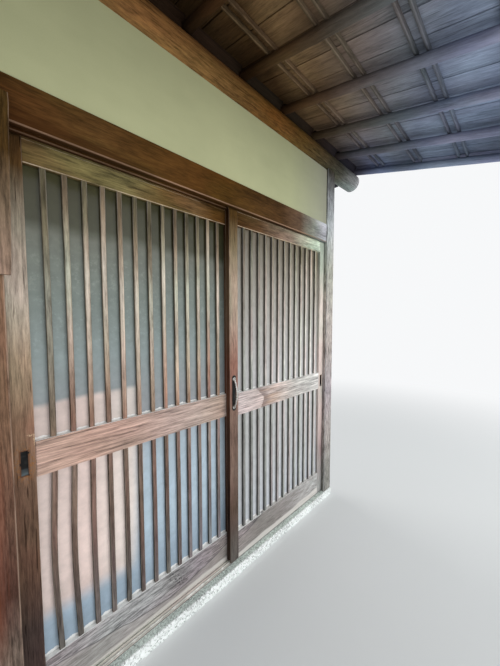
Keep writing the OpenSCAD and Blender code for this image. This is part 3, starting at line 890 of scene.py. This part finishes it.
def roof_boards(material):
    """Boards side by side up the slope, with open seams."""
    rng = random.Random(7)
    low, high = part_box("roof_boards")
    bm = new_mesh()
    seams = [low.x]
    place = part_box("left_edge_rafter")[0].x + RAFTER_R + BOARD_W
    while place < high.x - 0.02:
        seams.append(place)
        place += BOARD_W
    seams.append(high.x)
    reach = (EAVE_OUT + EAVE_BOARD_W, RAFTER_IN)
    for start, end in zip(seams, seams[1:]):
        roof_slab(bm, (start + SEAM / 2, end - SEAM / 2), reach, (BOARD_Z, TILE_Z), 0.001, rng,
                  lift=rng.uniform(0, 0.0008), tone=0.10, steps=4)
    finish_mesh("roof_boards_sawn", bm, material, FRAME_BODY, "board_wood", "roof_boards")


def battens(material):
    """Split battens in pairs across the rafters."""
    rng = random.Random(11)
    low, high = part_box("battens")
    bm = new_mesh()
    for place in BATTEN_PLACES:
        for side in (-0.5, 0.5):
            lower = place + side * BATTEN_PAIR + rng.uniform(-0.001, 0.001) - BATTEN_W / 2
            roof_slab(bm, (low.x, high.x), (lower, lower + BATTEN_W), (RAFTER_TOP, BOARD_Z), 0.0025,
                      rng, tone=0.08, steps=8, along="X")
    finish_mesh("battens_split", bm, material, FRAME_BODY, "batten_wood", "battens")


def edge_strips(material):
    """Packing between the battens that closes the ends of the eave over its edge rafters."""
    rng = random.Random(17)
    half = BATTEN_W / 2 + 0.001
    half_width = 0.012
    ends = [RAFTER_IN]
    for place in BATTEN_PLACES:
        for side in (0.5, -0.5):
            middle = place + side * BATTEN_PAIR
            ends += [middle + half, middle - half]
    ends.append(RAFTER_OUT + 0.002)
    bm = new_mesh()
    for node in (RAFTER_NODES[0], RAFTER_NODES[-1]):
        x = middle_x(node)
        for upper, lower in zip(ends[::2], ends[1::2]):
            roof_slab(bm, (x - half_width, x + half_width), (lower, upper),
                      (RAFTER_TOP - 0.001, BOARD_Z), 0.002, rng)
    finish_mesh("edge_strips", bm, material, FRAME_BODY, "rafter_wood")


def wave(u):
    """Height of a tile over its middle, at a share u of its width."""
    if u < ROLL_SHARE:
        return ROLL_H * math.sin(math.pi * u / ROLL_SHARE)
    return -PAN_H * math.sin(math.pi * (u - ROLL_SHARE) / (1 - ROLL_SHARE))


def across_tile(left, width):
    """Places across a tile, each with the height of its wave."""
    step = (width - 2 * TILE_GAP) / TILE_POINTS
    return [(left + TILE_GAP + step * i, wave(i / TILE_POINTS)) for i in range(TILE_POINTS + 1)]


def laid_tile(bm, left, width, lower, tuck, nudge):
    """A tile with its nose on the course below, tucked under the course above."""
    rings = []
    for t in (0.0, 0.012, 0.5, 1.0):
        y = lower + (TILE_ROW + tuck) * t
        rise = TILE_MIDDLE + TILE_STEP * (lower + TILE_ROW - y) / TILE_ROW + nudge
        nose = 0.002 if t == 0.0 else 0.0
        lean = TILE_LEAN * (1 - t)
        top = []
        bottom = []
        for x, height in across_tile(left, width):
            upper = rise + height
            under = upper - TILE_T
            top.append(on_roof(x, y + lean * upper, TILE_Z + upper - nose))
            bottom.append(on_roof(x, y + lean * under, TILE_Z + under + nose))
        rings.append(top + bottom[::-1])
    return sweep(bm, rings)


def eave_flange(bm, left, width, lower, nudge):
    """The flange that hangs from an eave tile in front of the eave board."""
    rings = []
    for y in (lower, lower + TILE_T):
        top = []
        bottom = []
        for x, height in across_tile(left, width):
            crest = TILE_MIDDLE + TILE_STEP + height - TILE_TUCK + nudge
            top.append(on_roof(x, y + TILE_LEAN * crest, TILE_Z + crest))
            bottom.append(on_roof(x, y, TILE_Z + EAVE_BOARD_UP + TILE_FLOOR))
        rings.append(top + bottom[::-1])
    return sweep(bm, rings, smooth=False)


def verge_tile(bm, x, lower, upper, floor):
    """The upright flange at one end of a course."""
    side = [
        (lower + 0.001, floor), (upper - 0.001, floor),
        (upper - 0.001, TILE_Z + TILE_MIDDLE - TILE_TUCK),
        (lower + 0.001, TILE_Z + TILE_MIDDLE + TILE_STEP - TILE_TUCK),
    ]
    return sweep(bm, [[on_roof(px, y, z) for y, z in side] for px in (x, x + TILE_T)], smooth=False)


def tile_bed(material, low, high):
    """Clay between the boards and the tiles."""
    top = TILE_Z + TILE_MIDDLE - PAN_H - TILE_T
    foot = TILE_Z + 0.018
    front = EAVE_OUT + 0.012
    inner = EAVE_OUT + EAVE_BOARD_W + 0.002
    side = [
        (inner, TILE_Z), (RAFTER_IN, TILE_Z), (RAFTER_IN, top),
        (front, top + 0.014), (front, foot), (inner, foot),
    ]
    ends = (low.x + TILE_T + 0.001, high.x - TILE_T - 0.001)
    bm = new_mesh()
    mark(bm, sweep(bm, [[on_roof(x, y, z) for y, z in side] for x in ends], smooth=False))
    finish_mesh("tile_bed", bm, material, FRAME_BODY, "roof_tile", sharp=40)


def tiles(material, bedding):
    """Single tiles in courses on a bed of clay, with flanged tiles at the eave and the verges."""
    rng = random.Random(23)
    low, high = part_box("roof_tiles")
    width = (high.x - low.x) / TILE_COLUMNS
    bm = new_mesh()
    for row in range(TILE_ROWS):
        upper = RAFTER_IN - row * TILE_ROW
        lower = upper - TILE_ROW
        tuck = TILE_LAP if row else 0.0
        at_eave = row == TILE_ROWS - 1
        floor = TILE_Z + TILE_FLOOR + (EAVE_BOARD_UP if at_eave else 0.0)
        for column in range(TILE_COLUMNS):
            nudge = rng.uniform(-0.0012, 0.0)
            left = low.x + column * width
            verts = laid_tile(bm, left, width, lower, tuck, nudge)
            mark(bm, verts, (*scatter(rng, 3, 3), 0.0), rng.uniform(-0.16, 0.16))
            if at_eave:
                verts = eave_flange(bm, left, width, lower, nudge)
                mark(bm, verts, (rng.uniform(-3, 3), 0.0, 0.0), rng.uniform(-0.1, 0.1))
        for x in (low.x + 0.0005, high.x - TILE_T - 0.0005):
            verts = verge_tile(bm, x, lower, upper, floor)
            mark(bm, verts, (rng.uniform(-3, 3), 0.0, 0.0), rng.uniform(-0.1, 0.1))
    finish_mesh("roof_tiles_laid", bm, material, FRAME_BODY, "roof_tile", "roof_tiles", sharp=35)
    tile_bed(bedding, low, high)


def name_board(material):
    """Bare planed board on the left post, narrower at its foot, its edges a little uneven."""
    low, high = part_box("name_board")
    bm = new_mesh()
    steps = 16
    end_cut = 0.0018
    unevenness = 0.0008
    rings = []
    for i in range(steps + 1):
        z = low.z + (high.z - low.z) * i / steps
        inset = end_cut if i in (0, steps) else 0.0
        taper = (SIGN_TOP - SIGN_FOOT) / 2 * (1 - i / steps) + inset
        left = low.x + taper + unevenness * (1 + noise.noise(Vector((z * 9, 1, 0))))
        right = high.x - taper - unevenness * (1 + noise.noise(Vector((z * 9, 5, 0))))
        section = chamfered(right - left, high.y - low.y - inset, 0.002)
        rings.append([Vector((left + u, low.y + inset + v, z)) for u, v in section])
    mark(bm, sweep(bm, rings, smooth=False), (0.3, 0.0, 1.0))
    finish_mesh("name_board_planed", bm, material, FRAME_BODY, "name_board_wood", "name_board")


def pull_cup(door, stile, material):
    """Blackened cup let into a stile, scooped out at its foot, its thin rim a little proud."""
    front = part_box(stile)[0].y
    left = middle_x(stile) - PULL_W / 2
    foot = PULL_Z - PULL_H / 2
    wall = 0.0010
    rim = 0.0022
    proud = front - 0.0006
    lip = front - 0.00012
    scoop = 0.022

    def loop(inset, y, rise=0.0):
        right = left + PULL_W - inset
        top = foot + PULL_H - inset
        low = foot + inset + rise
        corners = ((left + inset, low), (right, low), (right, top), (left + inset, top))
        return [Vector((x, y, z)) for x, z in corners]

    back = front + PULL_DEPTH - 0.0003
    outline = [(wall * 0.2, back), (wall * 0.2, lip), (-rim, lip), (-rim, proud), (wall, proud)]
    steps = 6
    for i in range(1, steps + 1):
        t = i / steps
        outline.append((wall, proud + (PULL_DEPTH - wall) * t, scoop * (1 - math.cos(t * math.pi / 2))))
    bm = new_mesh()
    rows = [[bm.verts.new(p) for p in loop(*place)] for place in outline]
    join_rows(bm, rows)
    bm.faces.new(rows[0])
    bm.faces.new(list(reversed(rows[-1])))
    mark(bm, bm.verts)
    mark(bm, [v for row in rows[1:5] for v in row], tone=1.0)
    finish_mesh(f"{door}_pull_cup", bm, material, door, "handle_iron")


def circle(radius, count):
    turns = [2 * math.pi * k / count for k in range(count)]
    return [(radius * math.cos(turn), radius * math.sin(turn)) for turn in turns]


def handle_plate(material):
    """Long thin dark plate behind the bow handle, with two small screws; it also stands for painted
    shadow of the handle on the stile.
    """
    low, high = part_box("right_door_handle")
    x = (low.x + high.x) / 2
    z = (low.z + high.z) / 2
    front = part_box("right_door_left_stile")[0].y
    half_w, half_h, thick = 0.0125, 0.095, 0.0014
    screw = 0.0885
    end = half_h - half_w
    outline = [(x + u, z + v + (end if v >= 0 else -end)) for u, v in circle(half_w, 24)]
    rings = [[Vector((px, y, pz)) for px, pz in outline] for y in (front - thick, front + 0.0002)]
    bm = new_mesh()
    mark(bm, sweep(bm, rings, smooth=False))
    for side in (-screw, screw):
        head = [
            [Vector((x + u, front - thick - proud, z + side + v)) for u, v in circle(radius, 14)]
            for radius, proud in ((0.0030, 0.0), (0.0027, 0.0006), (0.0014, 0.0011))
        ]
        mark(bm, sweep(bm, head))
    finish_mesh("right_door_handle_plate", bm, material, "right_door", "handle_iron", sharp=40)


def dress_frame():
    """Finishes of the posts, the wall and the sill. Stops give the colours along a timber, and hold
    painted shade under the eave and painted light as well as its own colour.
    """
    # Painted shade: both posts darken at their tops under the log; the corner post's pale blue-grey near
    # 2 m is painted sky light.
    post = wood("post_wood", "Z", "Z", {
        0.1: "#6b5a53", 0.3: "#7a675f", 0.5: "#453029", 0.7: "#65493e", 1.0: "#745646", 1.4: "#715a48",
        1.9: "#4d3a22", 2.4: "#3a2c1c"},
        ring=0.005, relief=0.0016, arris="#a8917f", worn=0.55, specks=1.3, marks=old_post)
    grey_post = wood("corner_post_wood", "Z", "Z", {
        0.1: "#87847f", 0.5: "#9e9793", 0.8: "#a0969a", 1.1: "#9f9691", 1.4: "#aaa49d", 1.7: "#a6a69b",
        2.0: "#b4b8ba", 2.2: "#95969a", 2.4: "#464139"},
        figure=0.9, lines=0.15, ring=0.005, pith=(0.0, 0.03, 0.06), arris="#cfd2d2", worn=0.4,
        specks=2.4, hue=0.3)
    # Painted shade on the head beam towards the left, and a painted pale blue sheen at its right end.
    beam = wood("beam_wood", "X", "X", {
        0.0: "#432b12", 0.2: "#4c351a", 0.35: "#553f21", 0.5: "#4d381a", 0.9: "#4b3213", 1.3: "#533820",
        1.5: "#614a3d", 1.65: "#878a83", 1.78: "#a9b3bb"},
        figure=0.25, blotch=1.1, pith=(0.0, 0.02, 0.09), rough=0.6, hue=1.3, cracks=0.15, specks=1.1,
        marks=lit_arris)
    # Painted shade: the infill is near black under the eave, with painted blue sky light at its right
    # end.
    infill = wood("infill_wood", "X", "X", {0.0: "#281c11", 1.7: "#2b241e", 2.1: "#2b2b33"},
                  specular=0.02)
    eave_wood = wood("eave_board_wood", "X", "X",
                     {0.0: "#6e6558", 1.2: "#70706e", 2.3: "#6f7880"}, rough=0.75)
    sill_wood = wood("sill_wood", "X", "X", {0.0: "#f6f4ee", 0.9: "#f2f1ec", 1.9: "#f0f1f2"},
                     figure=0.3, relief=0.002, cracks=0.15, marks=dark_lined_sill)
    steel = metal("rail_metal", "#c9c6be", "#f0eee8", 0.45, 30.0, metallic=0.0)
    for node, material, eased in (
        ("left_post", post, 0.002), ("corner_post", grey_post, 0.002), ("head_beam", beam, 0.002),
        ("plaster_panel", plaster(), 0.0), ("infill_boards", infill, 0.0),
        ("wall_ledger", infill, 0.002), ("eave_board", eave_wood, 0.002),
        ("threshold_stone", stone(), 0.0015), ("sill_board", sill_wood, 0.001),
        ("door_rails", steel, 0.0),
    ):
        soften(node, material, eased)


def dress_doors():
    """Finishes of the doors and their bars. Their stops hold painted shade high up under the top rail and
    the eave, and painted light where the middle heights catch it, as well as the wood's own colour; the
    glass colours are a painted reflection.
    """
    # Painted shade: the stiles, rails and bars darken towards their tops under the eave.
    left_stile = wood("stile_wood", "Z", "Z", {
        0.05: "#473b38", 0.3: "#463a37", 0.5: "#5e4a3d", 0.7: "#6f5447", 1.0: "#866857", 1.2: "#a08c78",
        1.4: "#b4aca0", 1.6: "#9c9486", 1.8: "#543e23", 1.9: "#3e2d18"},
        ring=0.004, relief=0.002, arris="#9a8676", worn=0.5, cracks=0.9, lines=0.2, specks=0.9,
        marks=rusty_stile)
    centre_stile = wood("centre_stile_wood", "Z", "Z", {
        0.05: "#605856", 0.3: "#4f4239", 0.5: "#725d55", 0.7: "#705850", 0.85: "#7d645b", 1.1: "#8a675b",
        1.3: "#a39082", 1.5: "#9c8f7e", 1.7: "#766650", 1.85: "#4b3619"},
        ring=0.004, relief=0.002, sides=(0.424, 0.316, 0.262), arris="#a58c7c", worn=0.5, specks=0.9)
    grey_stile = wood("stile_grey_wood", "Z", "Z", {
        0.05: "#a5a2a4", 0.3: "#9f9091", 0.5: "#b5aaa6", 0.7: "#bfb6b1", 1.1: "#d2c8c2", 1.3: "#d0cac3",
        1.6: "#c4c5ba", 1.85: "#a3aaa0"},
        figure=0.5, ring=0.004, relief=0.002, pith=(0.0, 0.02, 0.05), arris="#dcd8d2", worn=0.4)
    top_rail = wood("top_rail_wood", "X", "X", {
        0.12: "#55432a", 0.3: "#746545", 0.45: "#7a6b4b", 0.6: "#665131", 0.75: "#635336",
        0.86: "#4e3a19", 1.0: "#473018", 1.15: "#523f2a", 1.3: "#776a5a", 1.45: "#7d766a",
        1.6: "#adafa3", 1.75: "#c0cac1"},
        figure=0.9, blotch=0.9, pith=(0.0, 0.1, 0.02), hue=2.0, arris="#c4b096", worn=0.8, specks=1.2)
    mid_rail = wood("mid_rail_wood", "X", "X", {
        0.15: "#b5978a", 0.3: "#b29285", 0.45: "#ae9387", 0.6: "#ac988f", 0.75: "#aa9990",
        0.9: "#a89386", 1.0: "#bbafad", 1.3: "#bfaea7", 1.5: "#b9b4b0", 1.65: "#bbb7b4", 1.75: "#cdc8c6"},
        figure=0.42, ring=0.014, pith=(0.0, 0.06, -0.04), relief=0.002, ledge=True, arris="#f4ece4",
        worn=0.95, cracks=0.1, lines=0.2, specks=1.7, fleck=7.0, hue=0.35, marks=swallowtail)
    bottom_rail = wood("bottom_rail_wood", "X", "X", {
        0.15: "#9b9496", 0.35: "#a8a7a8", 0.5: "#a6a4a6", 0.6: "#989495", 0.75: "#948e92",
        0.9: "#847e7c", 1.0: "#8d8586", 1.15: "#6e6b6b", 1.3: "#7d797a", 1.45: "#919193", 1.6: "#b2b5b6",
        1.75: "#c8cacd"},
        figure=0.35, ring=0.02, relief=0.002, ledge=True, arris="#dedad6", worn=0.5, cracks=0.3,
        specks=2.2, hue=0.5, marks=arched_grain)
    brown_bars = wood("bar_wood", "Z", "Z", {
        0.16: "#6f6967", 0.3: "#625654", 0.5: "#6b5750", 0.7: "#786359", 0.85: "#7a655d",
        0.98: "#83695b", 1.1: "#998576", 1.3: "#b2a699", 1.5: "#b7b3a6", 1.6: "#9e9585", 1.7: "#7d725f",
        1.8: "#5c5343"},
        ring=0.006, sides=(0.259, 0.24, 0.202), hue=0.9, stagger=0.09, arris="#cfc3b2", worn=0.3,
        specks=0.9, marks=shaded_bars)
    grey_bars = wood("bar_grey_wood", "Z", "Z", {
        0.16: "#9c9c9d", 0.5: "#a6a4a3", 0.8: "#b4b2b0", 0.98: "#c8c6c3", 1.1: "#c4c0bc", 1.3: "#b7b3ac",
        1.5: "#a59f95", 1.7: "#857e70", 1.8: "#6e6656"},
        figure=0.6, ring=0.006, sides=(0.259, 0.259, 0.24), stagger=0.05, arris="#dcdad6", worn=0.3,
        specks=0.9, marks=shaded_grey_bars)
    brass = metal("wheel_brass", "#8a6d35", "#b89a5c", 0.35)
    bow = metal("handle_bow_metal", "#c4c2bd", "#f2f0ec", 0.24, 90.0)
    left_glass = glass("door_glass", "left_door", {
        0.16: "#94a5b4", 0.3: "#9fb0be", 0.45: "#a5b5c0", 0.6: "#a4b3be", 0.76: "#a0adb6",
        0.96: "#939699", 1.2: "#8d9897", 1.4: "#7a837d", 1.61: "#6c6e63", 1.65: "#464636",
        1.78: "#3d3b26"},
        heights={0.22: 1.18, 0.42: 1.38, 0.60: 1.34, 0.76: 1.20, 0.92: 1.0},
        across={0.80: 1.0, 0.88: 0.86}, painted_glints=0.25,
        reflected_patch={0.15: "#cab9b2", 0.28: "#d6c1b9", 0.42: "#d6cac2"})
    right_glass = glass("door_glass_grey", "right_door", {
        0.16: "#bdc0c5", 0.45: "#bbbcbd", 0.7: "#b4b4b2", 1.0: "#bebcbb", 1.2: "#b4b1ad", 1.5: "#a09b92",
        1.75: "#787062"},
        heights={0.22: 1.25, 0.42: 1.20, 0.70: 1.14, 0.92: 1.0},
        across={0.98: 0.86, 1.10: 0.98, 1.35: 1.08}, painted_glints=0.08)
    for door, left, right, pane in (
        ("left_door", left_stile, centre_stile, left_glass),
        ("right_door", centre_stile, grey_stile, right_glass),
    ):
        for part, material, eased in (
            ("left_stile", left, 0.0015), ("right_stile", right, 0.0015), ("top_rail", top_rail, 0.0025),
            ("mid_rail", mid_rail, 0.004), ("bottom_rail", bottom_rail, 0.004), ("glass", pane, 0.0),
            ("wheels", brass, 0.0),
        ):
            soften(f"{door}_{part}", material, eased)
    soften("right_door_handle", bow, 0.0)
    lattice("left_door", brown_bars, {0: -0.010, 1: -0.009, 2: -0.004})
    lattice("right_door", grey_bars, {})


def dress_eave():
    """The log, the rafters and all that lies on them. Their stops hold painted shade near the wall and
    over the log, and painted blue sky light towards the open eave and the right end of the log, as well
    as the wood's own colour.
    """
    # Painted light: the log turns pale grey-blue towards its lit right end.
    log_wood = wood("log_wood", "X", "X", {
        -0.3: "#7d5c37", 0.6: "#7d5c36", 0.9: "#6f502e", 1.2: "#674620", 1.5: "#5b4623", 1.8: "#47412f",
        2.0: "#474840", 2.15: "#6f7575", 2.28: "#868b8f"},
        figure=0.6, ring=0.02, pith=(0.0, 0.0, 0.3), rough=0.6, cracks=0.9, specks=1.5)
    # Painted shade near the wall and over the log, painted blue sky light further out; the pale batten
    # arrises are a painted highlight.
    rafter_wood = wood("rafter_wood", "slope", "eave", {
        -0.2: "#32231a", 0.15: "#3f2c1a", 0.35: "#57442f", 0.5: "#54463a", 0.65: "#605a58",
        0.8: "#64676f", 0.93: "#6b7586", 1.07: "#747f9a", 1.2: "#8690aa", 1.5: "#717d99"},
        figure=0.6, ring=0.02, rough=0.7, marks=eave_shade_and_sky_light)
    batten_wood = wood("batten_wood", "X", "eave", {
        -0.2: "#2a2015", 0.4: "#4b3d2c", 0.7: "#4c4640", 0.95: "#50565f", 1.2: "#5c6577", 1.5: "#545d70"},
        figure=0.6, ring=0.006, rough=0.7, arris={0.3: "#957a5c", 0.7: "#857a70", 1.0: "#747b8c"},
        worn=0.45, marks=eave_shade_and_sky_light)
    board_wood = wood("board_wood", "slope", "eave", {
        -0.2: "#3f2f1d", 0.2: "#553f28", 0.33: "#80674a", 0.45: "#725c46", 0.58: "#756659",
        0.72: "#726c6d", 0.87: "#777d88", 1.0: "#727b90", 1.14: "#8390a8", 1.3: "#76839c",
        1.5: "#626c80"},
        figure=0.7, ring=0.008, pith=(0.0, 0.04, 0.12), rough=0.75, cracks=0.5, blotch=0.6, specks=0.7,
        hue=0.3, marks=eave_shade_and_sky_light)
    purlin(log_wood)
    rafters(rafter_wood)
    battens(batten_wood)
    edge_strips(rafter_wood)
    roof_boards(board_wood)
    tiles(tile(), clay())


def dress_fittings():
    """Name board, pulls and the plate of the handle."""
    # Painted shade: the name board darkens towards its top under the head beam.
    name_board(wood("name_board_wood", "Z", "Z", {
        1.45: "#857061", 1.6: "#69594a", 1.7: "#5d4c3b", 1.8: "#3f2c14", 1.95: "#463419"},
        ring=0.009, arris="#8a7462", specks=1.5, hue=0.4))
    # Painted light on the iron: the scooped foot of each cup and other faces that look up are paler.
    iron = metal("handle_iron", "#0d0c0c", "#2b2927", 0.4, 45.0, 0.5, bright="#6d797c", rust="#6e4a32")
    pull_cup("left_door", "left_door_left_stile", iron)
    pull_cup("right_door", "right_door_right_stile", iron)
    handle_plate(iron)


def make_camera():
    """The photograph's own viewpoint, close under the eave."""
    data = bpy.data.cameras.new("camera")
    data.sensor_fit = "HORIZONTAL"
    data.sensor_width = 36.0
    data.lens = data.sensor_width * FOCAL_PIXELS / PHOTO_WIDTH
    data.shift_x = CAMERA_SHIFT
    data.clip_start = 0.01
    camera = bpy.data.objects.new("camera", data)
    camera.location = CAMERA_PLACE
    look = (
        Matrix.Rotation(math.radians(-CAMERA_YAW), 4, "Z")
        @ Matrix.Rotation(math.radians(90 - CAMERA_DOWN), 4, "X")
        @ Matrix.Rotation(math.radians(CAMERA_ROLL), 4, "Z")
    )
    camera.rotation_euler = look.to_euler()
    bpy.context.scene.collection.objects.link(camera)
    bpy.context.scene.camera = camera


def area_lamp(name, place, target, size, watts, colour):
    """A lamp that lights the object, and doesn't show in its gloss."""
    data = bpy.data.lights.new(name, "AREA")
    data.shape = "RECTANGLE"
    data.size, data.size_y = size
    data.energy = watts
    data.color = colour
    lamp = bpy.data.objects.new(name, data)
    lamp.location = place
    lamp.rotation_euler = (Vector(target) - Vector(place)).to_track_quat("-Z", "Y").to_euler()
    lamp.visible_camera = False
    lamp.visible_glossy = False
    bpy.context.scene.collection.objects.link(lamp)


def make_floor():
    """A pale floor that fades into the backdrop far from the object and keeps its shadow near it."""
    low, high = cad_bounds
    middle = (low + high) / 2
    corners = [(x * FLOOR_REACH, y * FLOOR_REACH) for x, y in ((-1, -1), (1, -1), (1, 1), (-1, 1))]
    bm = bmesh.new()
    bm.faces.new([bm.verts.new((middle.x + x, middle.y + y, low.z)) for x, y in corners])
    mesh = bpy.data.meshes.new("floor")
    bm.to_mesh(mesh)
    bm.free()
    s = Surface("floor", 0.9)
    s.colour(linear("#e4e5e4"))
    x, y, _ = s.parts(s.here())
    away = s.length(s.joined(s.less(x, middle.x), s.less(y, middle.y)))
    glow = s.node("Emission", {"Color": BACKDROP, "Strength": 1.0}).outputs[0]
    far = s.product(s.fade(away, 2.2, 5.5), s.seen_directly())
    mixed = s.node("MixShader", {0: far, 1: s.shader.outputs[0], 2: glow}).outputs[0]
    s.feed(s.tree.nodes["Material Output"].inputs["Surface"], mixed)
    mesh.materials.append(s.material)
    floor = bpy.data.objects.new("floor", mesh)
    bpy.context.scene.collection.objects.link(floor)


def make_stage():
    """Soft light, stronger from the street side and the right, on a pale ground."""
    make_floor()
    world = bpy.data.worlds.new("world")
    bpy.context.scene.world = world
    world.use_nodes = True
    world.node_tree.nodes.clear()
    w = Nodes(world.node_tree)
    heading = w.node("TexCoord").outputs["Generated"]
    side = w.node("VectorMath", {0: heading, 1: AMBIENT_SIDE}, operation="DOT_PRODUCT").outputs["Value"]
    level = w.line(w.share(side, -0.8, 0.8), AMBIENT_HIGH - AMBIENT_LOW, AMBIENT_LOW)
    ambient = w.node("Background", {"Color": AMBIENT_COLOUR, "Strength": level}).outputs[0]
    pale = w.node("Background", {"Color": BACKDROP, "Strength": 1.0}).outputs[0]
    blend = w.node("MixShader", {0: w.seen_directly(), 1: ambient, 2: pale}).outputs[0]
    w.node("OutputWorld", {"Surface": blend})
    area_lamp("street_light", (3.4, -5.2, 3.0), (1.0, -0.1, 1.0), (4.0, 3.0), 160.0, (0.98, 0.99, 1.0))
    area_lamp("ground_light", (1.8, -3.4, 0.0), (1.8, -3.4, 2.0), (6.0, 4.0), 108.0, (1.0, 1.0, 0.99))
    area_lamp("back_light", (0.5, 5.5, 3.2), (0.9, 0.0, 1.2), (4.5, 2.5), 150.0, (1.0, 0.98, 0.96))
    bpy.context.scene.view_settings.view_transform = "Standard"


make_camera()
make_stage()
dress_frame()
dress_doors()
dress_eave()
dress_fittings()
